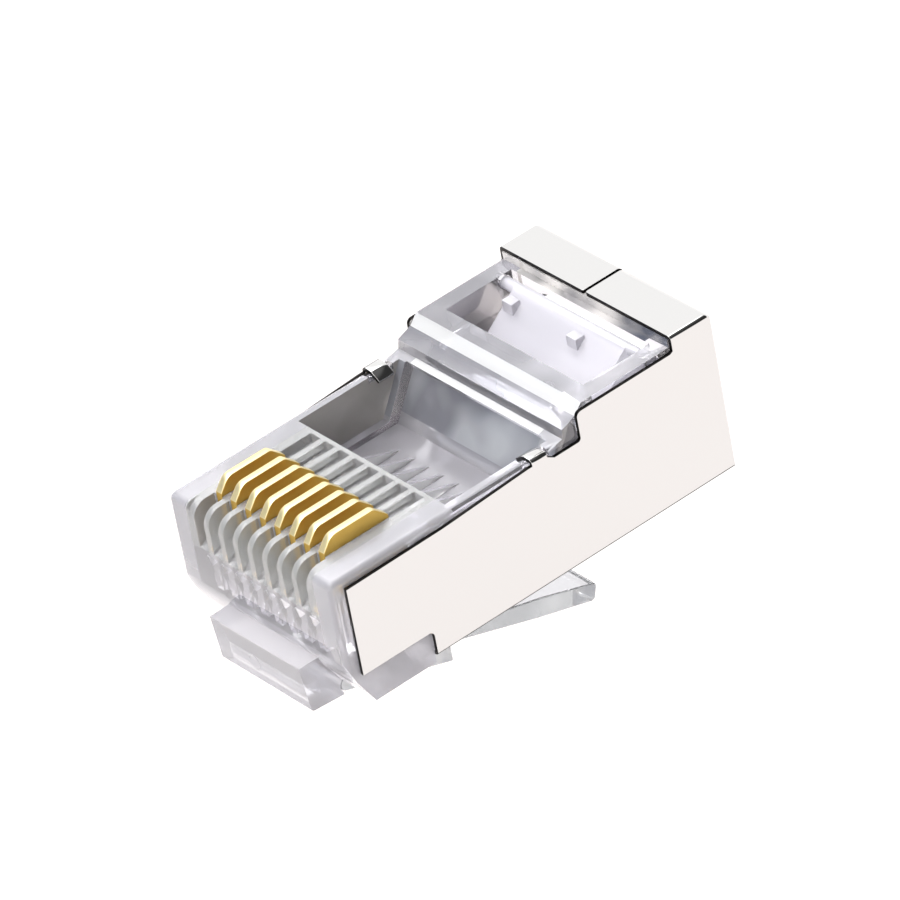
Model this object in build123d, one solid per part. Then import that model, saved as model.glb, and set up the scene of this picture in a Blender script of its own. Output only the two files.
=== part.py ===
from build123d import *
import os

# Modular plug: clear moulded housing, folded metal shield, eight blades, latch and cable clamp.
# X runs across the plug, Y from the nose to the cable end, Z up to the contact side.
# While it is drawn, Z is zero at the shield's underside. It is exported with Z zero on the nose face.

# Driving sizes, in millimetres
contact_count = 8
pitch = 1.016              # the standard spacing of the contacts
blade_thick = 0.40
sheet = 0.20               # the shield's nickel-plated sheet
shield_half = 5.84         # half of the 11.68 mm standard width
shield_end = 22.2          # the cable end of the shield
shield_top = 8.35
nose_face_z = 3.30         # height of the nose face's middle above the shield's underside

# Clearances
shield_gap = 0.02          # shield to housing
slide_gap = 0.03           # blade to its slot, each side
pivot_gap = 0.04           # knuckle or pin to its socket, radial
swing_gap = 0.10           # clamp to the cable entry's walls
fold_gap = 0.06            # ear to the notch under it
past = 1.0                 # how far a cutter runs past the surface that it opens

# Lengthwise places, from the cable end forwards
housing_end = shield_end - sheet
band_length = 2.38         # the shield's top band
rear_rail = 0.37           # housing top between the clamp window and the band
window_length = 3.85
front_rail = 0.95          # housing top ahead of the clamp window
step_length = 1.30         # the step down from the front rail to the recess
recess_slope = 1.40        # the recess's sloping rear wall
band_front = shield_end - band_length
window_rear = band_front - rear_rail
window_front = window_rear - window_length
frame_front = window_front - front_rail
step_front = frame_front - step_length
recess_end = step_front - 0.05
recess_floor_end = recess_end - recess_slope
cavity_front = window_front - 1.0
shield_floor_front = 4.71  # where the shield's floor starts, behind the nose

# Heights
keel_z = -0.42             # underside of the nose, ahead of the shield
nose_low_z = 2.16          # foot of the flat nose face
knee_z = 1.0               # where the nose's foot turns steeper
rim_z = 6.45               # top of the nose and of the recess's side rims
ridge_z = rim_z + 0.53     # top of the upright wall behind the recess
ledge_z = rim_z + 0.83
frame_z = rim_z + 1.30     # top of the clamp window's rails
roof_z = shield_top - sheet - shield_gap
floor_z = sheet + shield_gap
sky = shield_top + past    # top of a cutter that opens upwards

# Widths
half_width = shield_half - sheet - shield_gap
rib_half = contact_count * pitch / 2 + 0.24
recess_half = half_width - 0.57
slope_half = recess_half - 0.41
cavity_half = half_width - 1.02
window_half = half_width - 0.92

# Housing: outer form
knee_y = 0.45
keel_front = 1.25
lip_length = 0.35          # slope from the rim up to the wall behind the recess
lip_rise = 0.08
wall_draft = 0.07
ledge = 0.45
band_lead = 0.05
nose_corner = 0.3
top_corner = 0.35
rib_round = 0.8            # rounded front of the ribs between the contacts

# Housing: contact slots and wire channels
blade_front = 1.30
blade_rear = 4.95
crimp_travel = 1.0         # how far a blade is driven down
blade_foot_z = 3.00
open_slot = 0.68           # the slots are wider ahead of the blades and behind them
slot_lip_z = 4.25          # the open front's floor climbs from here
slot_floor_z = 4.85
slot_tail_z = rim_z - 0.45
slot_tail_wall = 0.22      # wall between the slots and the recess
channel_r = 0.45
channel_z = 2.35
channel_front = 1.5

# Housing: recess behind the contacts, and the wire funnel under it
recess_front = 7.05
recess_floor_z = 4.0
recess_ledge = 0.30        # the floor's middle lies this much lower than its two sides
slope_lip_z = rim_z - 0.5
slope_undercut = 0.3
side_slope_lead = 0.45     # the side slopes start this far ahead of the middle one
side_slope_top = 0.40
guide_thick = 0.22         # curved ribs that lead the wires over the recess's floor
guide_rise = 0.75
guide_flat = 1.3
guide_toe = 3.1            # the ribs' low toe starts here, behind the recess's front
guide_toe_rise = 0.15
guide_foot = 4.3
guide_root = 0.2           # how deep the ribs stand in the floor
wall = 0.7
funnel_floor_z = channel_z - 0.85
finger_thick = 0.16
finger_flat = 0.9
finger_nose = 1.2
finger_foot_z = channel_z + 0.25
finger_end = recess_floor_end - 1.3

# Housing: cable entry
cavity_floor_z = 1.1
cavity_roof_z = 6.3
cavity_corner = 1.1

# Shield
bend = 0.2                 # outer radius of the long folds
side_front = 0.70
side_foot_z = 1.35
side_knee_y = 6.20
side_corner = 0.28
inner_corner = 0.16
side_low_z = rim_z - 0.37
side_rail_z = frame_z - 0.21
rail_front = frame_front - 0.48
rail_slope = 0.17          # the side edge climbs to the band over this length
rail_climb = 0.08
seam = 0.15
seam_corner = 0.12         # the sheet's corners at the front end of the seam
ear_rear = step_front - 1.09
ear_length = 0.87
ear_front = ear_rear - ear_length
ear_z = rim_z + 0.13
ear_root_z = rim_z - 0.15
ear_relief = 0.29
ear_run = 0.36
ear_reach = 0.61           # flat of the ear, in from the shield's side
ear_curl = 0.50            # how far the ear runs on past its flat, and how far it drops there
ear_drop = 0.33
notch_z = ear_z - sheet - fold_gap - ear_drop / 2
notch_ahead = 0.30
notch_behind = 0.25

# Latch and its root
latch_half = 3.11          # half of the 6.22 mm standard width
tail_half = 1.63           # half of the 3.25 mm release tail
latch_angle = 17.7         # how steeply the free latch hangs, in degrees
latch_length = 15.5        # knuckle to tip
knuckle_y = 1.60
knuckle_z = -0.88
knuckle_r = 0.39
shoulder_y = 7.25          # the shoulders that lock in the jack
shoulder_start = 4.18
shoulder_ramp = 0.24
shoulder_front_height = 0.63
shoulder_height = 0.85
tail_start = 5.4
tail_waist = 0.23
tail_bend = 12.2
tail_height = 0.61
tail_lift = 0.29           # the tail's underside rises to this at the tip
root_front = -0.75
root_top_z = 1.28
root_draft = 0.23
root_foot_z = -1.18
root_rear_z = -1.32
root_rear = knuckle_y - 0.30

# Cable clamp
clamp_half = cavity_half - swing_gap
pin_r = 0.30
pin_y = window_rear - 0.43
pin_z = frame_z - 0.47
pin_half = window_half + 0.30
clamp_reach = pin_y - window_front - 0.75
clamp_drop = 1.78
clamp_edge = 0.20          # the blunt front edge
clamp_knee = 0.92
clamp_knee_drop = 1.28
brow = 0.57                # the rear end of the sloping face
brow_drop = 0.03
brow_top = 0.27
brow_rise = 0.22
tooth_places = (-3.3, 1.1)
tooth_half = 0.33
tooth_front = 1.12         # the teeth's ends, ahead of the pin
tooth_rear = 0.60
tooth_rise = 0.12
tooth_foot_drop = 0.70
clamp_slope = 38.2         # how steeply the sloping face climbs, in degrees
clamp_facet = 1.0          # a square bar of this size, on edge, leaves a facet at each of its ends

# Contact blade
blade_tip_z = 6.60         # where the sloped ends of the top start
blade_top_z = 7.24
blade_front_slope = 0.52
blade_rear_slope = 0.70
blade_front_bend = 0.60
blade_rear_bend = 0.35
prong_count = 3
prong_half = 0.5
prong_height = 0.8


def prism(corners, x0, x1):
    """A side outline in Y and Z, run across from x0 to x1. A corner's third number is its radius."""
    points = [corner[:2] for corner in corners]
    radii = [corner[2] if len(corner) > 2 else 0 for corner in corners]
    outline = make_face(FilletPolyline(*points, radius=radii, close=True))
    return extrude(Plane.YZ.offset(x0) * outline, amount=x1 - x0)


def block(x0, x1, y0, y1, z0, z1):
    return Pos((x0 + x1) / 2, (y0 + y1) / 2, (z0 + z1) / 2) * Box(x1 - x0, y1 - y0, z1 - z0)


def across(radius, y, z, half):
    """A round bar lying across the plug."""
    return Pos(0, y, z) * Rot(0, 90, 0) * Cylinder(radius, 2 * half)


def along(radius, x, z, y0, y1):
    """A round bar lying along the plug."""
    return Pos(x, (y0 + y1) / 2, z) * Rot(90, 0, 0) * Cylinder(radius, y1 - y0)


def both_sides(solid):
    return solid + mirror(solid, about=Plane.YZ)


def contact_x(index):
    return (index - (contact_count - 1) / 2) * pitch


# Housing: outer form
housing = prism([
    (0, nose_low_z), (0, rim_z, top_corner), (step_front - lip_length, rim_z),
    (step_front, rim_z + lip_rise), (step_front + wall_draft, ridge_z), (frame_front - ledge, ledge_z),
    (frame_front, frame_z), (band_front - band_lead, frame_z), (band_front - band_lead, roof_z),
    (housing_end, roof_z), (housing_end, floor_z), (shield_floor_front - shield_gap, floor_z),
    (shield_floor_front - shield_gap, keel_z), (keel_front, keel_z), (knee_y, knee_z),
], -half_width, half_width)
nose_edges = housing.edges().filter_by(Axis.Z).filter_by_position(Axis.Y, -sheet, sheet)
housing = fillet(nose_edges, nose_corner)
rib_front = block(-rib_half, rib_half, -past, rib_round, rim_z - rib_round, rim_z + past)
housing -= rib_front - across(rib_round, rib_round, rim_z - rib_round, rib_half + past)
notch = block(recess_half - past, half_width + past, ear_front - notch_ahead, ear_rear + notch_behind,
              notch_z, sky)
housing -= both_sides(notch)

# Housing: latch root, a block across the foot of the nose with a groove for the latch's knuckle
housing += prism([
    (root_front, root_top_z), (root_front + root_draft, root_foot_z, sheet),
    (root_rear, root_rear_z), (root_rear, root_top_z),
], -latch_half, latch_half)
housing -= across(knuckle_r + pivot_gap, knuckle_y, knuckle_z, latch_half + shield_gap)

# Housing: contact slots, each open at the nose, with a wire channel under it
slot_half = blade_thick / 2 + slide_gap
for i in range(contact_count):
    middle_x = contact_x(i)
    left, right = middle_x - open_slot / 2, middle_x + open_slot / 2
    housing -= prism([
        (-past, slot_lip_z), (0, slot_lip_z), (blade_front, slot_floor_z), (blade_front, sky), (-past, sky),
    ], left, right)
    housing -= block(middle_x - slot_half, middle_x + slot_half, blade_front - slide_gap,
                     blade_rear + slide_gap, blade_foot_z - crimp_travel - slide_gap, sky)
    housing -= block(left, right, blade_rear, recess_front - slot_tail_wall, slot_tail_z, sky)
    housing -= along(channel_r, middle_x, channel_z, channel_front, recess_front + wall / 2)

# Housing: middle recess with its sloping rear wall, steeper at the two sides
housing -= prism([
    (recess_front, recess_floor_z), (recess_front, sky), (recess_end - side_slope_top, sky),
    (recess_end - side_slope_top, rim_z), (recess_floor_end - side_slope_lead, recess_floor_z),
], -recess_half, recess_half)
deep_floor_z = recess_floor_z - recess_ledge
housing -= prism([
    (recess_front, deep_floor_z), (recess_front, sky), (recess_end - slope_undercut, sky),
    (recess_end - slope_undercut, rim_z), (recess_end, slope_lip_z), (recess_floor_end, deep_floor_z),
], -slope_half, slope_half)
guide = prism([
    (recess_front - guide_root, deep_floor_z - guide_root),
    (recess_front - guide_root, deep_floor_z + guide_rise),
    (recess_front + guide_flat, deep_floor_z + guide_rise, guide_rise),
    (recess_front + guide_toe, deep_floor_z + guide_toe_rise, guide_rise),
    (recess_front + guide_foot, deep_floor_z - guide_root),
], -guide_thick / 2, guide_thick / 2)
for i in range(contact_count - 1):
    housing += Pos(contact_x(i) + pitch / 2, 0, 0) * guide

# Housing: wire funnel under the recess, with guide fingers between the wires
funnel = prism([
    (recess_front, funnel_floor_z), (recess_front, recess_floor_z - wall),
    (cavity_front, recess_floor_z - wall), (cavity_front, cavity_roof_z),
    (cavity_front + swing_gap, cavity_floor_z),
], -rib_half, rib_half)
finger = prism([
    (recess_front - past, funnel_floor_z - past), (recess_front - past, recess_floor_z),
    (recess_front + finger_flat, recess_floor_z), (finger_end - finger_nose, finger_foot_z),
    (finger_end, funnel_floor_z - past),
], -finger_thick / 2, finger_thick / 2)
for i in range(contact_count - 1):
    funnel -= Pos(contact_x(i) + pitch / 2, 0, 0) * finger
housing -= funnel

# Housing: cable entry, the clamp window over it, and bores for the clamp's pins
entry = block(-cavity_half, cavity_half, cavity_front, housing_end + past, cavity_floor_z, cavity_roof_z)
housing -= fillet(entry.edges().filter_by(Axis.Y), cavity_corner)
housing -= block(-window_half, window_half, window_front, window_rear, cavity_roof_z - cavity_corner, sky)
housing -= across(pin_r + pivot_gap, pin_y, pin_z, pin_half + pivot_gap)

# Shield: two sides, floor and top band folded from one sheet, with a seam down the middle of the band
sides = prism([
    (side_front, rim_z - 0.48), (side_front, side_foot_z), (shield_floor_front, side_foot_z, side_corner),
    (shield_floor_front, 0), (shield_end, 0), (shield_end, shield_top, 2 * bend),
    (band_front, shield_top), (band_front, side_rail_z + rail_climb), (band_front - rail_slope, side_rail_z),
    (rail_front, side_rail_z, side_corner), (rail_front, side_low_z, inner_corner),
    (ear_rear + ear_run, side_low_z), (ear_rear, ear_root_z), (ear_front - ear_relief, ear_root_z),
    (side_knee_y, rim_z - 0.42),
], -shield_half, shield_half)
long_edges = sides.edges().filter_by(Axis.Y)
top_edges = long_edges.filter_by_position(Axis.Z, shield_top - sheet / 2, shield_top + sheet / 2)
foot_edges = long_edges.filter_by_position(Axis.Z, -sheet / 2, sheet / 2)
shield = fillet(top_edges + foot_edges, bend)
inside = shield_half - sheet
shield -= block(-inside, inside, -past, shield_end + past, sheet, shield_top - sheet)
shield -= block(-seam / 2, seam / 2, band_front - past, shield_end + past, roof_z - past, sky)
seam_edges = shield.edges().filter_by(Axis.Z).filter_by_position(Axis.X, -seam, seam)
shield = fillet(seam_edges.filter_by_position(Axis.Y, band_front - sheet, band_front + sheet), seam_corner)

# Shield: an ear on each side, rolled in over the notch in the recess's rim
middle = sheet / 2
roll = FilletPolyline(
    (shield_half - middle, side_low_z), (shield_half - middle, ear_z - middle),
    (shield_half - ear_reach, ear_z - middle),
    (shield_half - ear_reach - ear_curl, ear_z - middle - ear_drop), radius=(sheet * 0.7, sheet * 2))
ear = extrude(Plane.XZ.offset(-ear_rear) * trace(roll, sheet), amount=ear_length)
shield += both_sides(ear)

# Latch: knuckle, sloping arm, shoulders and the narrower release tail, drawn level and then turned
arm = prism([
    (0, knuckle_r), (shoulder_start, knuckle_r), (shoulder_start + shoulder_ramp, shoulder_front_height),
    (shoulder_y, shoulder_height), (shoulder_y, -knuckle_r), (0, -knuckle_r),
], -latch_half, latch_half)
tail = prism([
    (tail_start, -knuckle_r), (tail_start, tail_waist), (tail_bend, tail_height),
    (latch_length, tail_height, sheet), (latch_length, -tail_lift, sheet), (tail_bend, -knuckle_r),
], -tail_half, tail_half)
hang = Pos(0, knuckle_y, knuckle_z) * Rot(-latch_angle, 0, 0)
behind = block(-shield_half, shield_half, shoulder_y, shield_end, -shield_top, shield_top)
latch = (hang * arm - behind) + hang * tail + across(knuckle_r, knuckle_y, knuckle_z, latch_half)

# Cable clamp: a wedge bar across the window, turning down on its rear pins when the plug is crimped
clamp = prism([
    (pin_y - clamp_reach, pin_z - clamp_drop + clamp_edge / 2),
    (pin_y - clamp_reach + clamp_edge, pin_z - clamp_drop), (pin_y - clamp_knee, pin_z - clamp_knee_drop),
    (pin_y, pin_z - pin_r), (pin_y, pin_z + pin_r), (pin_y - brow_top, pin_z + brow_rise),
    (pin_y - brow, pin_z - brow_drop),
], -clamp_half, clamp_half)
facet_bar = Rot(0, 45, 0) * Box(clamp_facet, 3 * clamp_reach, clamp_facet)
clamp -= both_sides(Pos(clamp_half, pin_y - brow, pin_z - brow_drop) * Rot(clamp_slope, 0, 0) * facet_bar)
clamp += across(pin_r, pin_y, pin_z, pin_half)
for x in tooth_places:
    clamp += prism([
        (pin_y - tooth_front, pin_z - tooth_foot_drop), (pin_y - tooth_front, pin_z + tooth_rise),
        (pin_y - tooth_rear, pin_z + tooth_rise), (pin_y - tooth_rear, pin_z - tooth_foot_drop),
    ], x - tooth_half, x + tooth_half)

# Contact: flat blade with sloped ends and a row of points that pierce the wire
blade_outline = [
    (blade_front, blade_foot_z + prong_height), (blade_front, blade_tip_z),
    (blade_front + blade_front_slope, blade_top_z, blade_front_bend),
    (blade_rear - blade_rear_slope, blade_top_z, blade_rear_bend),
    (blade_rear, blade_tip_z),
]
prong_step = (blade_rear - blade_front - 2 * prong_half) / (prong_count - 1)
for k in range(prong_count):
    prong_y = blade_rear - prong_half - k * prong_step
    blade_outline.append((prong_y + prong_half, blade_foot_z + prong_height))
    blade_outline.append((prong_y, blade_foot_z))
    if k < prong_count - 1:
        blade_outline.append((prong_y - prong_half, blade_foot_z + prong_height))

os.makedirs("parts", exist_ok=True)
place = Pos(0, 0, -nose_face_z)
nodes = {"housing": housing, "shield": shield, "latch": latch, "cable_clamp": clamp}
for i in range(contact_count):
    nodes[f"contact_{i + 1}"] = prism(
        blade_outline, contact_x(i) - blade_thick / 2, contact_x(i) + blade_thick / 2)
for name, solid in nodes.items():
    export_step(place * solid, f"parts/{name}.step")
    box = solid.bounding_box()
    print(name, round(solid.volume, 3), len(solid.solids()), [round(v, 2) for v in (*box.min, *box.max)])
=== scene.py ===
# %% [markdown]
# # A shielded modular plug
# This lesson dresses a finished CAD model of a small clear network plug. The model comes in as a fixed frame:
# its pieces have their real size and place in metres. We give them finer edges, real materials and light, and
# never move or resize them. The box round the model is kept from the start.

# %% Load the frame
import bpy
import bmesh
from math import cos, radians, sin
from mathutils import Matrix, Vector


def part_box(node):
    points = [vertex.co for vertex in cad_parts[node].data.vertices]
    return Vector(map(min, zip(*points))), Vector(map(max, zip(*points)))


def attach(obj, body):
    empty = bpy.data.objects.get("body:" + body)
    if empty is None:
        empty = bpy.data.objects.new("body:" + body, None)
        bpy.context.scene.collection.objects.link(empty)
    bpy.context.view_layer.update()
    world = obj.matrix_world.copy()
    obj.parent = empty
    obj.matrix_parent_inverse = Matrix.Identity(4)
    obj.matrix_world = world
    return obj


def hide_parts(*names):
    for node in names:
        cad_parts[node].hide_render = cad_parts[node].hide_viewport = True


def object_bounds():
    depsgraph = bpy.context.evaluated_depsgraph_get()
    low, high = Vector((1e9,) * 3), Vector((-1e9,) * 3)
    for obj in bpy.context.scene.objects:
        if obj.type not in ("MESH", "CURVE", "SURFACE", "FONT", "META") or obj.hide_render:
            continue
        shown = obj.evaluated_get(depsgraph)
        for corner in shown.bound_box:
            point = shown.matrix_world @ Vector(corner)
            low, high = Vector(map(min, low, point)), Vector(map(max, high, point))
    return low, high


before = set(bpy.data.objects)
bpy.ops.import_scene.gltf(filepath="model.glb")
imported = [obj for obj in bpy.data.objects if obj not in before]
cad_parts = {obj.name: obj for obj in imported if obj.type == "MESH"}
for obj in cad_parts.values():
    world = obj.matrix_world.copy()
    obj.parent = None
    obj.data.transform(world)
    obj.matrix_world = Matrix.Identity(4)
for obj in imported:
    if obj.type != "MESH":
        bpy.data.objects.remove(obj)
cad_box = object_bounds()
mm = 0.001

# %% [markdown]
# ## Helpers
# Colours are easiest to read as the hex values that a colour picker gives, but a shader works on linear
# light, so one function turns the first into the second. Another adds any node with its settings and its
# links. Materials written with the two are short enough to read at a glance.

# %% Colour and node helpers
def linear(hex_colour):
    """An sRGB hex colour as linear red, green, blue and 1 for alpha, by the standard's curve."""
    values = [int(hex_colour[i:i + 2], 16) / 255 for i in (1, 3, 5)]
    curve = [v / 12.92 if v <= 0.04045 else ((v + 0.055) / 1.055) ** 2.4 for v in values]
    return (*curve, 1.0)


def add(tree, kind, sockets=None, **settings):
    """Adds a node. sockets gives inputs by name or number, each a value or another node's output."""
    made = tree.nodes.new(kind)
    for name, value in settings.items():
        setattr(made, name, value)
    for socket, value in (sockets or {}).items():
        if isinstance(value, bpy.types.NodeSocket):
            tree.links.new(value, made.inputs[socket])
        else:
            made.inputs[socket].default_value = value
    return made


def new_material(name):
    """A material and its node tree, which starts empty."""
    material = bpy.data.materials.new(name)
    material.use_nodes = True
    material.node_tree.nodes.clear()
    return material, material.node_tree


# %% [markdown]
# ## Camera
# The photograph was taken from the front right and above with a long lens, so lines hardly converge.
# The camera also leans a little, which is why the plug seems to climb to the right. A constraint could aim
# the camera at a helper object. We work out its three axes instead, because that takes in the lean as well.

# %% Camera at the photograph's angle
azimuth, elevation, roll = radians(56.19), radians(34.83), radians(-11.02)
distance = 419.5 * mm
aim_offset = (0.837 * mm, 1.130 * mm)      # to the right and up, as the camera sees it
plug_middle = Vector((0, 10 * mm, 0.7 * mm))
focal_length = 382.8                       # in millimetres, as the film's width is
film_width = 36
back = Vector((sin(azimuth) * cos(elevation), -cos(azimuth) * cos(elevation), sin(elevation)))
level_right = Vector((cos(azimuth), sin(azimuth), 0))
level_up = back.cross(level_right)
right = cos(roll) * level_right + sin(roll) * level_up
up = cos(roll) * level_up - sin(roll) * level_right
aim = plug_middle + aim_offset[0] * right + aim_offset[1] * up
turn = Matrix((right, up, back)).transposed().to_4x4()
camera_data = bpy.data.cameras.new("camera")
camera_data.lens = focal_length
camera_data.sensor_width = film_width
camera_data.clip_start = 10 * mm
camera = bpy.data.objects.new("camera", camera_data)
camera.matrix_world = Matrix.Translation(aim + distance * back) @ turn
bpy.context.collection.objects.link(camera)
bpy.context.scene.camera = camera
print("camera", [round(v / mm, 1) for v in camera.location], "mm")

# %% [markdown]
# ## Clear plastic
# The housing, latch and clamp are clear polycarbonate. What the eye sees is almost only refraction: bright
# where a ray gets out to the light, grey where it is turned inside, and a dark line at a corner. A faint
# lilac tint and a slight waviness of the moulded faces keep it from looking like glass.
# A pure glass shader could do this, but it turns to noise where many thin walls lie behind each other. So a
# share of each face is plain milky plastic, small where the mould is polished and larger where it is rough.
# That share, and a tint for each zone, also stand for the light that the real plastic turns back inside.

# %% A moulded clear plastic
refraction = 1.58              # polycarbonate bends light a little more than glass
flow_size = 2.5 * mm           # the waves that the flowing plastic leaves
drift_reach = 4.5 * mm         # how far left and right of the middle the painted shading goes on changing
drift_range = (0.05, 0.95)     # the second tint's share at the two ends
noise_range = (0.35, 0.65)     # the noise hardly leaves this range
blotch_share = 0.40            # how far a wave pushes the painted shading to one side or the other
pin_ring_width = 0.06 * mm


def painted_shading(tree, place, flow, tint, shade_tint):
    """Painted shade that changes from one tint to another across the plug, broken into blotches that follow
    the flow.
    """
    across = add(tree, "ShaderNodeSeparateXYZ", {"Vector": place})
    drift = add(tree, "ShaderNodeMapRange", {
        "Value": across.outputs["X"], "From Min": -drift_reach, "From Max": drift_reach,
        "To Min": drift_range[0], "To Max": drift_range[1]})
    blotch = add(tree, "ShaderNodeMapRange", {
        "Value": flow, "From Min": noise_range[0], "From Max": noise_range[1],
        "To Min": -blotch_share, "To Max": blotch_share})
    share = add(tree, "ShaderNodeMath", {0: blotch.outputs["Result"], 1: drift.outputs["Result"]},
                operation="ADD", use_clamp=True)
    shades = add(tree, "ShaderNodeMix", {
        "Factor": share.outputs["Value"], "A": linear(tint), "B": linear(shade_tint)}, data_type="RGBA")
    return shades.outputs["Result"]


def eroded(tree, place, grain):
    """The pits that spark erosion leaves in the mould, at the size of its grain."""
    pits = add(tree, "ShaderNodeTexNoise", {"Vector": place, "Scale": 1 / grain, "Detail": 2.0})
    bump = add(tree, "ShaderNodeBump", {
        "Height": pits.outputs["Fac"], "Strength": 0.2, "Distance": grain / 8})
    return bump.outputs["Normal"]


def pin_ring(tree, place, mark):
    """The fine ring that an ejector pin leaves on an upright face. mark is its x, z and radius."""
    x, z, radius = mark
    level = add(tree, "ShaderNodeMapping", {"Vector": place, "Location": (-x, 0, -z), "Scale": (1, 0, 1)})
    reach = add(tree, "ShaderNodeVectorMath", {0: level.outputs["Vector"]}, operation="LENGTH")
    inside = add(tree, "ShaderNodeMath", {0: reach.outputs["Value"], 1: radius}, operation="SUBTRACT")
    away = add(tree, "ShaderNodeMath", {0: inside.outputs["Value"]}, operation="ABSOLUTE")
    ring = add(tree, "ShaderNodeMapRange", {
        "Value": away.outputs["Value"], "From Min": 0.0, "From Max": pin_ring_width,
        "To Min": 1.0, "To Max": 0.0})
    bump = add(tree, "ShaderNodeBump", {
        "Height": ring.outputs["Result"], "Strength": 0.6, "Distance": 0.04 * mm})
    return bump.outputs["Normal"]


def polycarbonate(name, tint, gloss, clearness, shade_tint=None, grain=None, mark=None):
    """Moulded clear plastic. gloss is its lowest and highest roughness, and clearness the share of light
    that it lets through. A second tint paints shade and reflections across the plug; it, grain and mark go to
    the three helpers above, in that order."""
    material, tree = new_material(name)
    place = add(tree, "ShaderNodeTexCoord").outputs["Object"]
    flow = add(tree, "ShaderNodeTexNoise", {"Vector": place, "Scale": 1 / flow_size, "Detail": 1.0})
    haze = add(tree, "ShaderNodeMapRange", {
        "Value": flow.outputs["Fac"], "To Min": gloss[0], "To Max": gloss[1]})
    shader = add(tree, "ShaderNodeBsdfPrincipled", {
        "Base Color": linear(tint), "Roughness": haze.outputs["Result"], "IOR": refraction,
        "Transmission Weight": clearness})
    if shade_tint:
        tree.links.new(painted_shading(tree, place, flow.outputs["Fac"], tint, shade_tint), shader.inputs["Base Color"])
    if grain:
        tree.links.new(eroded(tree, place, grain), shader.inputs["Normal"])
    if mark:
        tree.links.new(pin_ring(tree, place, mark), shader.inputs["Normal"])
    add(tree, "ShaderNodeOutputMaterial", {"Surface": shader.outputs["BSDF"]})
    return material


# %% [markdown]
# ## Finishes of the nose
# The nose is what goes into the jack. Its outside comes from a ground part of the tool, so it is satin. The
# ribs between the contacts come from thin spark-eroded blades in the tool: their grain makes them milky.
# Below them the foot of the nose is polished again, and shows the channels behind it.

# %% Clear plastic of the nose
nose_z = 3.30 * mm             # heights are measured from the shield's underside, this far below zero
# Polished: nearly all of what shows is what lies behind it.
clear = polycarbonate("clear polycarbonate, polished mould", "#FCFBFF", (0.02, 0.05), 0.93)
# Spark-eroded: a soft grey-white, so each rib stands out against the gold.
rib_plastic = polycarbonate("clear polycarbonate, fine-grained ribs", "#E4E5E4", (0.20, 0.30), 0.72)
# Ground: pale lilac-grey with soft lights.
nose_plastic = polycarbonate("clear polycarbonate, satin nose", "#EDECF2", (0.06, 0.14), 0.68)
# Polished but thick: clear, with a little more body than a thin wall.
foot_plastic = polycarbonate("clear polycarbonate, foot of the nose", "#F6F5FA", (0.02, 0.05), 0.84)
# The latch root stands out under the nose. An ejector pin has left a ring on its front.
root_pin = (-0.48 * mm, -0.08 * mm - nose_z, 0.38 * mm)
root_plastic = polycarbonate("clear polycarbonate, latch root", "#E4E3E8", (0.08, 0.16), 0.68, mark=root_pin)
print("materials so far", len(bpy.data.materials))

# %% [markdown]
# ## Finishes of the recess
# Behind the contacts the housing is hollowed out. Its walls lie against the shield, so they mirror the
# metal's
# inside: their grey is a painted reflection, and the slope behind them has painted shade, while the floor
# under the open top is light. A second tint that a face changes to on its way across the plug paints how that
# shade changes.

# %% Clear plastic of the recess
# The wall beside the recess: a warm middle grey, a painted reflection of the shield's inside.
painted_wall_plastic = polycarbonate("clear polycarbonate, recess wall", "#C2BFBA", (0.08, 0.16), 0.50,
                               shade_tint="#A8A49F")
# The slope behind it: painted shade, dark on the left and pale on the right, with soft blotches.
slope_shade_plastic = polycarbonate("clear polycarbonate, recess slope with painted shade", "#8C8D95", (0.05, 0.12), 0.42,
                              shade_tint="#CBCDD1")
# The floor and the tops of its guide ribs: light and slightly hazy.
floor_plastic = polycarbonate("clear polycarbonate, recess floor", "#D2D0D6", (0.10, 0.18), 0.66)
print("materials so far", len(bpy.data.materials))

# %% [markdown]
# ## Finishes of the clamp window
# Between the recess and the shield's band the housing steps up to a frame round the window of the cable
# clamp. Its level ledges catch the light, which is painted into their near-white tint, and its upright faces
# are painted grey as shade.

# %% Clear plastic of the step, the window's frame and the sill
# Level ledges of the step: white, painted light for the light from above that stays in them.
painted_light_plastic = polycarbonate("clear polycarbonate, satin ledges with painted light", "#FFFFFF", (0.10, 0.20), 0.50)
# The upright wall between two ledges: a grey stripe of painted shade.
step_shade_plastic = polycarbonate("clear polycarbonate, painted shade on the step's wall", "#8E8E93", (0.05, 0.12), 0.50)
# The window's frame: painted shade, grey on the left and light on the right.
frame_shade_plastic = polycarbonate("clear polycarbonate, window frame with painted shade", "#C2C1C8", (0.05, 0.12), 0.68,
                              shade_tint="#E6E5EB")
# The sill under the band: a painted reflection of the metal above it, light on the left and nearly black on
# the right.
sill_reflection_plastic = polycarbonate("clear polycarbonate, painted reflection on the sill", "#E9E6E2", (0.03, 0.08), 0.45,
                             shade_tint="#3A3F4C")
# A moulded edge: light is turned back inside it, which the eye sees as a fine dark line. The dark tint paints
# that line.
dark_line_plastic = polycarbonate("clear polycarbonate, painted dark line on moulded edges", "#404045", (0.05, 0.12), 0.50)
print("materials so far", len(bpy.data.materials))

# %% [markdown]
# ## Finishes of the latch and the clamp
# The latch is a thin polished arm, clearest from above. Its sides have painted shade, greyer where the eye
# looks along it.
# The clamp's face is spark-eroded, so that it grips, and looks frosted.

# %% Clear plastic of the latch and the clamp
clamp_grain = 0.08 * mm        # coarser than the real grain, which is too fine to show
# Top and underside of the arm: the sweep shows through, slightly greyed.
latch_plastic = polycarbonate("clear polycarbonate, thin latch", "#D9DBE0", (0.02, 0.06), 0.90)
# Sides of the arm: painted shade, a cool grey that gets lighter to the right.
latch_side_shade_plastic = polycarbonate("clear polycarbonate, painted shade on the latch's sides", "#AEB1B4", (0.04, 0.10), 0.62,
                             shade_tint="#E6E8EA")
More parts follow.
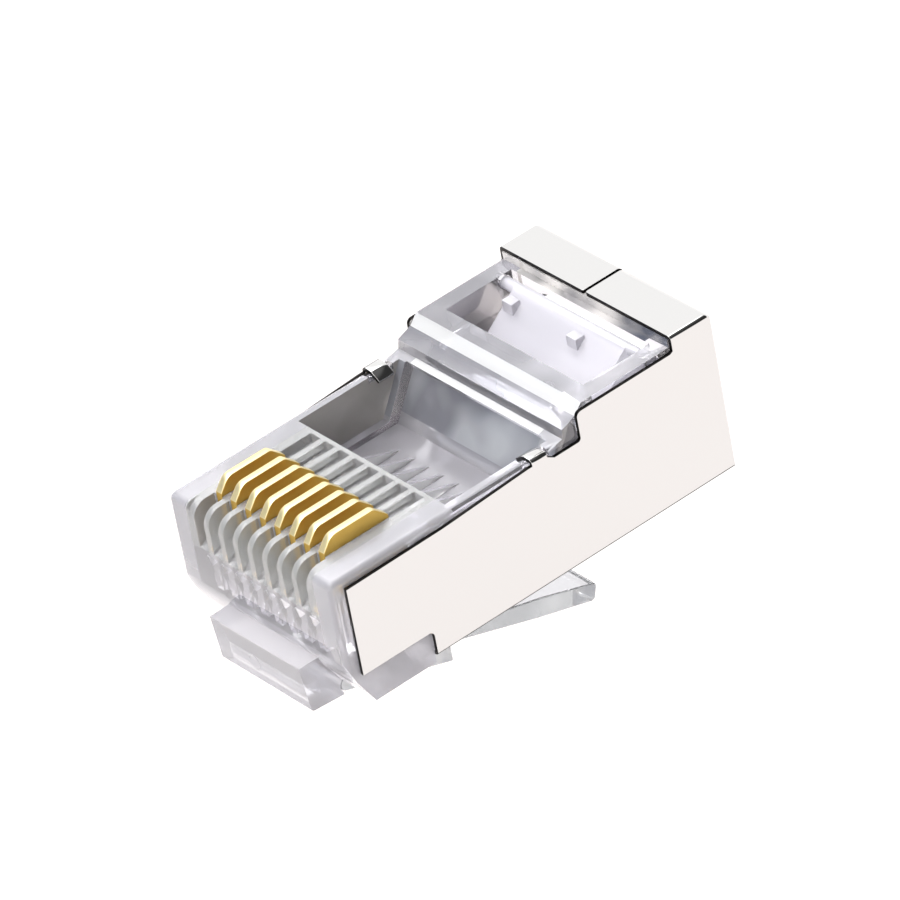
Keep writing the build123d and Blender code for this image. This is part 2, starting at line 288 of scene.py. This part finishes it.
# The clamp: frosted and nearly white.
clamp_plastic = polycarbonate("clear polycarbonate, spark-eroded clamp", "#EAE8EF", (0.25, 0.35), 0.50,
                              grain=clamp_grain)
print("materials so far", len(bpy.data.materials))

# %% [markdown]
# ## Metals
# The shield is thin steel with bright nickel over it: a slightly warm mirror, with faint lines along the way
# it was rolled. Where the sheet was sheared there is no nickel, so its cut edges are dark. The contacts are
# punched bronze with gold over it. A metal shader needs only a colour and a roughness. The lines are noise
# that is stretched along the plug, and they change both the height and the gloss, as rolling does.

# %% Plated and rolled metals
line_stretch = 0.03            # the lines are this many times as wide as they are long
gloss_swing = 0.3              # a line is glossier or duller by this share


def rolled_metal(name, colour, roughness, line_width, depth):
    """Plated sheet with faint lines along Y, as rolling leaves them, of this width and depth."""
    material, tree = new_material(name)
    place = add(tree, "ShaderNodeTexCoord").outputs["Object"]
    stretch = add(tree, "ShaderNodeMapping", {"Vector": place, "Scale": (1, line_stretch, 1)})
    lines = add(tree, "ShaderNodeTexNoise", {
        "Vector": stretch.outputs["Vector"], "Scale": 1 / line_width, "Detail": 3.0})
    bump = add(tree, "ShaderNodeBump", {"Height": lines.outputs["Fac"], "Strength": 0.15, "Distance": depth})
    gloss = add(tree, "ShaderNodeMapRange", {
        "Value": lines.outputs["Fac"], "To Min": roughness * (1 - gloss_swing),
        "To Max": roughness * (1 + gloss_swing)})
    shader = add(tree, "ShaderNodeBsdfPrincipled", {
        "Base Color": linear(colour), "Metallic": 1.0, "Roughness": gloss.outputs["Result"],
        "Normal": bump.outputs["Normal"]})
    add(tree, "ShaderNodeOutputMaterial", {"Surface": shader.outputs["BSDF"]})
    return material


# The shield's outside: a bright, faintly warm mirror.
nickel = rolled_metal("nickel plate on rolled steel", "#D5D4D3", 0.09, 0.4 * mm, 0.002 * mm)
# Its inside was never polished: the same metal, but dull.
dull_nickel = rolled_metal("nickel plate, unpolished inside", "#C4C1BD", 0.22, 0.3 * mm, 0.002 * mm)
# Its cut edges: bare steel, painted nearly black as shade; the bends at the foot get it too.
sheared_steel_and_shade = rolled_metal("sheared steel edge and painted shade", "#1E1C1B", 0.30, 0.2 * mm, 0.004 * mm)
# The blades' punched tops and bends are burnished by the punch: pale, bright gold.
gold_edge = rolled_metal("gold plate on a punched edge", "#FFEDB4", 0.36, 0.15 * mm, 0.002 * mm)
# Their broad sides keep the rolled skin: a deeper, matt gold. It is also painted on the upright end under
# each tip as shade.
gold_face = rolled_metal("gold plate on rolled bronze and painted shade", "#E8C468", 0.50, 0.30 * mm, 0.002 * mm)
print("materials in all", len(bpy.data.materials))

# %% [markdown]
# ## Pieces with real edges
# A CAD mesh has knife edges, and a knife edge catches no light. Real moulded and folded edges have a small
# radius. The radius could be made in the CAD model, but so fine a one would only slow its checks. So we copy
# each node, join its loose triangles, and round its edges with a Bevel modifier. A Weighted Normal modifier
# after it keeps the flat faces flat.

# %% Copy a node, merge it and round its edges
same_point = 0.0005 * mm       # closer points than this are one
same_plane = radians(0.5)      # triangles that meet at less than this are one face
sharp = radians(30)            # edges sharper than this are rounded


def merged(node):
    """A copy of a CAD node's mesh, with its triangles joined to whole faces."""
    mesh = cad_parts[node].data.copy()
    shape = bmesh.new()
    shape.from_mesh(mesh)
    bmesh.ops.remove_doubles(shape, verts=shape.verts, dist=same_point)
    bmesh.ops.dissolve_limit(shape, angle_limit=same_plane, verts=shape.verts, edges=shape.edges)
    shape.to_mesh(mesh)
    shape.free()
    return mesh


def dressed(node, name, body, radius, segments, material):
    """A copy of a CAD node that stands for it, with its edges rounded to a radius in a few segments."""
    mesh = merged(node)
    mesh.name = name
    mesh.materials.clear()
    mesh.materials.append(material)
    for face in mesh.polygons:
        face.use_smooth = True
    piece = bpy.data.objects.new(name, mesh)
    bpy.context.collection.objects.link(piece)
    bevel = piece.modifiers.new("edge radius", "BEVEL")
    bevel.width = radius
    bevel.segments = segments
    bevel.limit_method = "ANGLE"
    bevel.angle_limit = sharp
    bevel.harden_normals = True
    flat = piece.modifiers.new("flat faces stay flat", "WEIGHTED_NORMAL")
    flat.weight = 100
    flat.keep_sharp = True
    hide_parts(node)
    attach(piece, body)
    print(name, len(mesh.vertices), "points", len(mesh.polygons), "faces")
    return piece


def slot_of(piece, material):
    """The number of a material on a piece. It is added to the piece when it isn't there yet."""
    slots = piece.data.materials
    if material.name not in slots:
        slots.append(material)
    return slots.find(material.name)


# %% The plug's own pieces
housing = dressed("housing", "clear_housing", "plug", radius=0.04 * mm, segments=2, material=clear)
latch = dressed("latch", "sprung_latch", "latch_arm", radius=0.08 * mm, segments=3,
                material=latch_plastic)
clamp = dressed("cable_clamp", "clamp_wedge", "clamp_bar", radius=0.05 * mm, segments=2,
                material=clamp_plastic)
shield = dressed("shield", "folded_shield", "plug", radius=0.02 * mm, segments=2, material=nickel)

# %% [markdown]
# ## Gold blades
# Each contact is punched from bronze strip and plated. The punch burnishes the edge that goes into the jack,
# and the strip's own faces stay matt. The short upright end under each tip gets the darker matt gold as
# painted shade. All eight are one shape on eight bodies, because each is crimped on its own, so a loop
# dresses them.

# %% Eight blades, bright on the edge and matt on the faces
contact_count = 8
broad_side = 0.9               # how squarely a face looks across the plug to be a side of the strip
upright_end = 0.95             # and along the plug, to be the short upright end under a blade's tip, which gets matt gold as painted shade
for number in range(1, contact_count + 1):
    blade = dressed(f"contact_{number}", f"gold_blade_{number}", f"blade_{number}", radius=0.03 * mm,
                    segments=2, material=gold_edge)
    for face in blade.data.polygons:
        matt = abs(face.normal.x) > broad_side or abs(face.normal.y) > upright_end
        face.material_index = slot_of(blade, gold_face if matt else gold_edge)

# %% [markdown]
# ## Zones of the housing
# The housing is one moulding with a different finish in each zone, and many zones also have light, shade or
# a reflection painted into their tint. A finish could be painted on an image, but an image has to be wrapped
# on the mesh. A zone here is a few rules on where the middle of a face is and which way it looks, so it
# follows the shape. Where a zone ends in the middle of a face, the face is cut first.

# %% Where the zones end
rib_reach = 4.40 * mm          # just over half the width that the eight slots take
rib_end = 7.05 * mm            # the ribs run back to the recess
rib_foot = 4.2 * mm - nose_z   # just under the slots' open fronts
root_top = 1.30 * mm - nose_z  # just over the latch root, and just behind it
root_end = 1.34 * mm
foot_end = 0.1 * mm            # faces ahead of this are on the front of the nose
first_wall_x = -3.896 * mm     # the outer wall of the first slot, open to the eye ahead of its blade
first_wall_end = 1.3 * mm
first_wall_play = 0.02 * mm    # how far from there a face still belongs to the wall
rim = 6.40 * mm - nose_z       # just under the top of the nose and of the recess's sides
recess_side = 5.05 * mm        # half the recess's width
recess_side_play = 0.1 * mm
recess_floor = 3.65 * mm - nose_z      # just under the middle of the recess's floor
guide_top = recess_floor + 0.9 * mm    # just over the guide ribs on it
step_lip = 12.95 * mm          # just ahead of the lip behind the recess
step_end = 13.35 * mm          # where the upright wall behind the lip starts
wall_end = 13.45 * mm          # just behind that wall
ledge_start = 14.15 * mm       # the slope up to the clamp window's front rail
ledge_end = 14.70 * mm
sill_start = 19.44 * mm        # the sill between the clamp window and the shield's band
square_on = 0.8                # how far a face's direction follows an axis when it looks that way
leaning = 0.3                  # and when it only leans that way


def split(piece, place, direction):
    """Cuts a piece's faces along a plane, so that each side can have its own material."""
    shape = bmesh.new()
    shape.from_mesh(piece.data)
    everything = shape.verts[:] + shape.edges[:] + shape.faces[:]
    bmesh.ops.bisect_plane(shape, geom=everything, plane_co=place, plane_no=direction, dist=0.001 * mm)
    shape.to_mesh(piece.data)
    shape.free()


split(housing, (rib_reach, 0, 0), (1, 0, 0))
split(housing, (-rib_reach, 0, 0), (1, 0, 0))
split(housing, (0, rib_end, 0), (0, 1, 0))
split(housing, (0, 0, rib_foot), (0, 0, 1))
print("housing cut to", len(housing.data.polygons), "faces")

# %% Rules for each zone
def nose_zone(place, facing):
    """The finish of a face ahead of the recess, with painted shade on the first slot's outer wall."""
    in_comb = abs(place.x) < rib_reach
    first_wall = abs(place.x - first_wall_x) < first_wall_play and facing.x > square_on
    # The first slot's outer wall gets the grey wall tint as painted shade.
    if first_wall and place.y < first_wall_end:
        return painted_wall_plastic
    if in_comb and place.z > rib_foot:
        return rib_plastic
    if place.y < root_end and place.z < root_top:
        return root_plastic
    if in_comb and place.y < foot_end:
        return foot_plastic
    return clear if facing.y > square_on else nose_plastic


def on_slope(place, facing):
    """Whether a face is on the slope behind the recess."""
    return facing.y < -leaning and facing.z > leaning and abs(place.x) < recess_side


def recess_zone(place, facing):
    """The finish of a face in the recess or on the rims beside it, and the light, shade and reflection
    painted into it.
    """
    left_wall = abs(place.x + recess_side) < recess_side_play and facing.x > square_on
    if left_wall and place.z > recess_floor:
        return painted_wall_plastic
    # The guide ribs' upright sides get the ledges' white as painted light.
    if recess_floor < place.z < guide_top and (facing.z > leaning or abs(place.x) < rib_reach):
        return painted_light_plastic if abs(facing.x) > square_on else floor_plastic
    if place.z > rim and facing.z > square_on:
        return nose_plastic
    return slope_shade_plastic if on_slope(place, facing) else clear


def window_zone(place, facing):
    """The finish of a face from the step behind the recess to the cable end, and the light, shade and
    reflection painted into it.
    """
    if place.z > rim and place.y < step_end and facing.z > square_on:
        return painted_light_plastic
    if place.z > rim and ledge_start < place.y < ledge_end and facing.z > leaning:
        return painted_light_plastic
    if place.z > rim and step_end <= place.y < wall_end and facing.y < -square_on:
        return step_shade_plastic
    if place.z > rim and place.y > sill_start and (facing.z > leaning or facing.y < -square_on):
        return sill_reflection_plastic
    if place.z > rim and place.y > step_end and facing.z > leaning:
        return frame_shade_plastic
    return slope_shade_plastic if place.y < step_end and on_slope(place, facing) else clear


def zone(place, facing):
    """The finish of a housing face and the light and shade painted into it, from its middle and the way it
    looks.
    """
    if place.y < rib_end:
        return nose_zone(place, facing)
    if place.y < step_lip:
        return recess_zone(place, facing)
    return window_zone(place, facing)


# %% Each face gets its zone's finish and painted light and shade
for face in housing.data.polygons:
    face.material_index = slot_of(housing, zone(face.center, face.normal))
# The rounded edges get the dark tint, a painted dark line.
housing.modifiers["edge radius"].material = slot_of(housing, dark_line_plastic)
for index, material in enumerate(housing.data.materials):
    print(material.name, sum(face.material_index == index for face in housing.data.polygons), "faces")

# %% [markdown]
# ## Sides of the latch
# Seen from above the latch is thin and clear. Seen from the side the eye looks through its whole width, so
# its sides get a grey tint as painted shade. One rule picks them out: they look straight across the plug.

# %% Painted shade on the latch's sides
for face in latch.data.polygons:
    sideways = abs(face.normal.x) > broad_side
    face.material_index = slot_of(latch, latch_side_shade_plastic if sideways else latch_plastic)
print("latch sides", sum(face.material_index > 0 for face in latch.data.polygons), "faces")

# %% [markdown]
# ## Pockets under the slots
# Under the foot of each slot the mould's core pins leave a small faceted pocket of air. Light is turned back
# in its facets, which gives each slot its white and dark glint. All eight are one shape on one line, so
# Geometry Nodes make them: a line of points at the contact spacing with a four-sided cone on each. Air in
# plastic is the other way round from plastic in air, so the faces are flipped.

# %% Build a node group and run it once
def node_group(name, inputs):
    """A Geometry Nodes group with named inputs and a geometry output. Gives the group and its input node."""
    group = bpy.data.node_groups.new(name, "GeometryNodeTree")
    for label, kind in inputs.items():
        group.interface.new_socket(name=label, in_out="INPUT", socket_type=kind)
    group.interface.new_socket(name="Geometry", in_out="OUTPUT", socket_type="NodeSocketGeometry")
    return group, add(group, "NodeGroupInput")


def made_by(group, name, values):
    """Runs a group once with the given input values and keeps what it makes as a plain mesh."""
    holder = bpy.data.objects.new(name + "_holder", bpy.data.meshes.new(name + "_holder"))
    bpy.context.collection.objects.link(holder)
    modifier = holder.modifiers.new(name, "NODES")
    modifier.node_group = group
    sockets = {item.name: item.identifier for item in group.interface.items_tree if item.in_out == "INPUT"}
    for label, value in values.items():
        modifier[sockets[label]] = value
    seen = holder.evaluated_get(bpy.context.evaluated_depsgraph_get())
    mesh = bpy.data.meshes.new_from_object(seen)
    mesh.name = name
    bpy.data.objects.remove(holder)
    piece = bpy.data.objects.new(name, mesh)
    bpy.context.collection.objects.link(piece)
    return piece


# %% A row of faceted pockets
pitch = 1.016 * mm
pocket_aside = 0.10 * mm       # a little to the right of each slot's middle
first_pocket = (-(contact_count - 1) / 2 * pitch + pocket_aside, 0.62 * mm, 3.70 * mm - nose_z)
pocket_turn = (radians(62), 0, radians(8))     # leans forwards, with a facet half turned to the light
pockets, given = node_group("row of faceted pockets", {
    "Count": "NodeSocketInt", "Pitch": "NodeSocketFloat", "First": "NodeSocketVector",
    "Width": "NodeSocketFloat", "Depth": "NodeSocketFloat", "Material": "NodeSocketMaterial"})
step = add(pockets, "ShaderNodeCombineXYZ", {"X": given.outputs["Pitch"]})
line = add(pockets, "GeometryNodeMeshLine", {
    "Count": given.outputs["Count"], "Offset": step.outputs["Vector"],
    "Start Location": given.outputs["First"]})
cone = add(pockets, "GeometryNodeMeshCone", {
    "Vertices": 4, "Radius Top": 0.0, "Radius Bottom": given.outputs["Width"],
    "Depth": given.outputs["Depth"]})
forward = add(pockets, "GeometryNodeTransform", {"Geometry": cone.outputs["Mesh"], "Rotation": pocket_turn})
row = add(pockets, "GeometryNodeInstanceOnPoints", {
    "Points": line.outputs["Mesh"], "Instance": forward.outputs["Geometry"]})
real = add(pockets, "GeometryNodeRealizeInstances", {"Geometry": row.outputs["Instances"]})
flipped = add(pockets, "GeometryNodeFlipFaces", {"Mesh": real.outputs["Geometry"]})
finished = add(pockets, "GeometryNodeSetMaterial", {
    "Geometry": flipped.outputs["Mesh"], "Material": given.outputs["Material"]})
add(pockets, "NodeGroupOutput", {"Geometry": finished.outputs["Geometry"]})
pocket_row = made_by(pockets, "core_pin_pockets", {
    "Count": contact_count, "Pitch": pitch, "First": first_pocket, "Width": 0.38 * mm,
    "Depth": 0.80 * mm, "Material": clear})
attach(pocket_row, "plug")
print("pockets", len(pocket_row.data.vertices), "points", len(pocket_row.data.polygons), "faces")

# %% [markdown]
# ## Cut edges and inside of the shield
# The sheet is plated before it is cut and folded. So its cut edges are bare steel, painted nearly black
# as shade, which draws the fine black line round every side of it, and its inside is duller than its outside.
# Each face is again sorted by its place and direction, measured from the shield's own box. The long bends at
# the foot look down into the shade, so they get the cut edges' near-black as painted shade.

# %% Dark edges where the shield was sheared, and painted shade on its foot
low_corner, high_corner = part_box("shield")
sheet = 0.20 * mm
side_skin = high_corner.x - 1.1 * sheet       # the sides are outside this
low_fold = low_corner.z + 1.5 * sheet         # the folds at the foot and the top are past these two
high_fold = high_corner.z - 2.2 * sheet
looks_that_way = 0.7                          # how far a face's direction follows an axis
edge_on = 0.3                                 # below this a face looks past the axis
bend_turn = 0.25                              # a bend looks this much to the side and down


def shield_finish(place, facing):
    """The finish of a shield face: a cut edge with painted shade, the dull inside, painted shade on the foot
    or the bright outside.
    """
    on_side = abs(place.x) > side_skin
    sideways = abs(facing.x) > looks_that_way
    cut_end = abs(facing.y) > looks_that_way
    cut_side = on_side and low_fold < place.z < high_fold and abs(facing.x) < edge_on
    cut_seam = abs(place.x) < sheet / 2 and sideways
    inside_side = on_side and facing.x * place.x < 0 and sideways
    inside_band = facing.z < -looks_that_way and place.z > 0
    foot_bend = on_side and abs(facing.x) > bend_turn and facing.z < -bend_turn
    if cut_end or cut_side or cut_seam:
        return sheared_steel_and_shade
    if inside_side or inside_band:
        return dull_nickel
    # The bends at the foot get the dark edge colour as painted shade.
    return sheared_steel_and_shade if foot_bend else nickel


for face in shield.data.polygons:
    face.material_index = slot_of(shield, shield_finish(face.center, face.normal))
for index, material in enumerate(shield.data.materials):
    print(material.name, sum(face.material_index == index for face in shield.data.polygons), "faces")

# %% [markdown]
# ## Floor
# The photograph is a product shot on a white paper sweep that is lit until it is pure white. A bright light
# on white paper could do that, but it would also flood the plug. So the paper glows by itself, and is dark
# under its glow, which keeps lamps and shadows from marking it.

# %% Floor
floor_reach = 500 * mm
paper_glow = 1.30
low = cad_box[0][2]
floor_mesh = bpy.data.meshes.new("floor")
floor_mesh.from_pydata([(-floor_reach, -floor_reach, low), (floor_reach, -floor_reach, low),
                        (floor_reach, floor_reach, low), (-floor_reach, floor_reach, low)],
                       [], [(0, 1, 2, 3)])
floor = bpy.data.objects.new("floor", floor_mesh)
bpy.context.collection.objects.link(floor)
paper, paper_tree = new_material("white paper sweep")
lit_paper = add(paper_tree, "ShaderNodeBsdfPrincipled", {
    "Base Color": linear("#3A3A3A"), "Roughness": 0.9, "Specular IOR Level": 0.0,
    "Emission Color": linear("#FFFAF8"), "Emission Strength": paper_glow})
add(paper_tree, "ShaderNodeOutputMaterial", {"Surface": lit_paper.outputs["BSDF"]})
floor_mesh.materials.append(paper)
print("floor at", round(low / mm, 2), "mm")

# %% [markdown]
# ## Light
# Bright metal and clear plastic show only what is round them, so the light is a whole white tent and not a
# lamp or two. Its cloth is brightest overhead. It has an opening high on the right behind the plug, whose
# darkness draws the black lines along the shield's folds, and a blue-grey card on the left in front, which
# the faces that lean to it mirror. The tent is the world's own shader, because that needs no mesh and every
# ray sees it.

# %% A white tent
cloth_glow = 1.34
ceiling_glow = 4.0             # added to the cloth's overhead
opening_share = 0.97           # how much of the light is missing in the opening
card_share = 0.55              # and in front of the grey card
world = bpy.data.worlds.new("white tent")
bpy.context.scene.world = world
world.use_nodes = True
tent = world.node_tree
tent.nodes.clear()
way = add(tent, "ShaderNodeTexCoord").outputs["Generated"]


def patch(direction, start, end):
    """1 inside a round patch of the tent around a direction, 0 outside it. start and end are cosines."""
    towards = add(tent, "ShaderNodeVectorMath", {0: way, 1: Vector(direction).normalized()},
                  operation="DOT_PRODUCT")
    mask = add(tent, "ShaderNodeMapRange", {
        "Value": towards.outputs["Value"], "From Min": start, "From Max": end},
        interpolation_type="SMOOTHSTEP")
    return mask.outputs["Result"]


def less(strength, mask, share):
    """A strength lowered by a share where the mask is 1."""
    keep = add(tent, "ShaderNodeMath", {0: mask, 1: -share, 2: 1.0}, operation="MULTIPLY_ADD")
    lowered = add(tent, "ShaderNodeMath", {0: strength, 1: keep.outputs["Value"]}, operation="MULTIPLY")
    return lowered.outputs["Value"]


opening = patch((0.571, 0.457, 0.682), start=0.64, end=0.76)
ceiling = patch((0, 0, 1), start=0.70, end=0.92)
grey_card = patch((-0.68, -0.55, 0.45), start=0.80, end=0.97)
glow = add(tent, "ShaderNodeMath", {0: ceiling, 1: ceiling_glow, 2: cloth_glow}, operation="MULTIPLY_ADD")
glow = less(glow.outputs["Value"], opening, opening_share)
glow = less(glow, grey_card, card_share)
cloth_colour = add(tent, "ShaderNodeMix", {
    "Factor": grey_card, "A": linear("#FFFFFF"), "B": linear("#C9D2E6")}, data_type="RGBA")
cloth = add(tent, "ShaderNodeBackground", {"Color": cloth_colour.outputs["Result"], "Strength": glow})
add(tent, "ShaderNodeOutputWorld", {"Surface": cloth.outputs["Background"]})
print("tent nodes", len(tent.nodes))

# %% [markdown]
# ## Softbox and light paths
# One soft lamp high on the left gives the ribs and ledges a bright side. It isn't seen in reflections,
# because the tent already is. A ray crosses many walls of clear plastic before it comes out, so it is
# followed much longer than is usual: cut off early, it would leave black spots. The Standard view keeps the
# paper pure white, where Blender's usual one would grey it.

# %% Key light and long light paths
def softbox(name, place, size, power):
    """A square soft light, turned to the middle of the plug. Its place and size are in millimetres."""
    data = bpy.data.lights.new(name, "AREA")
    data.size = size * mm
    data.energy = power
    lamp = bpy.data.objects.new(name, data)
    spot = Vector(place) * mm
    facing = (spot - plug_middle).to_track_quat("Z", "Y").to_matrix().to_4x4()
    lamp.matrix_world = Matrix.Translation(spot) @ facing
    lamp.visible_glossy = False
    bpy.context.collection.objects.link(lamp)
    return lamp


key_light = softbox("key softbox", place=(-260, 120, 320), size=260, power=1.0)
bpy.context.scene.view_settings.view_transform = "Standard"
light_paths = bpy.context.scene.cycles
light_paths.max_bounces = 28
light_paths.transmission_bounces = 28
light_paths.glossy_bounces = 12
print("key light", [round(v / mm) for v in key_light.location], "mm")
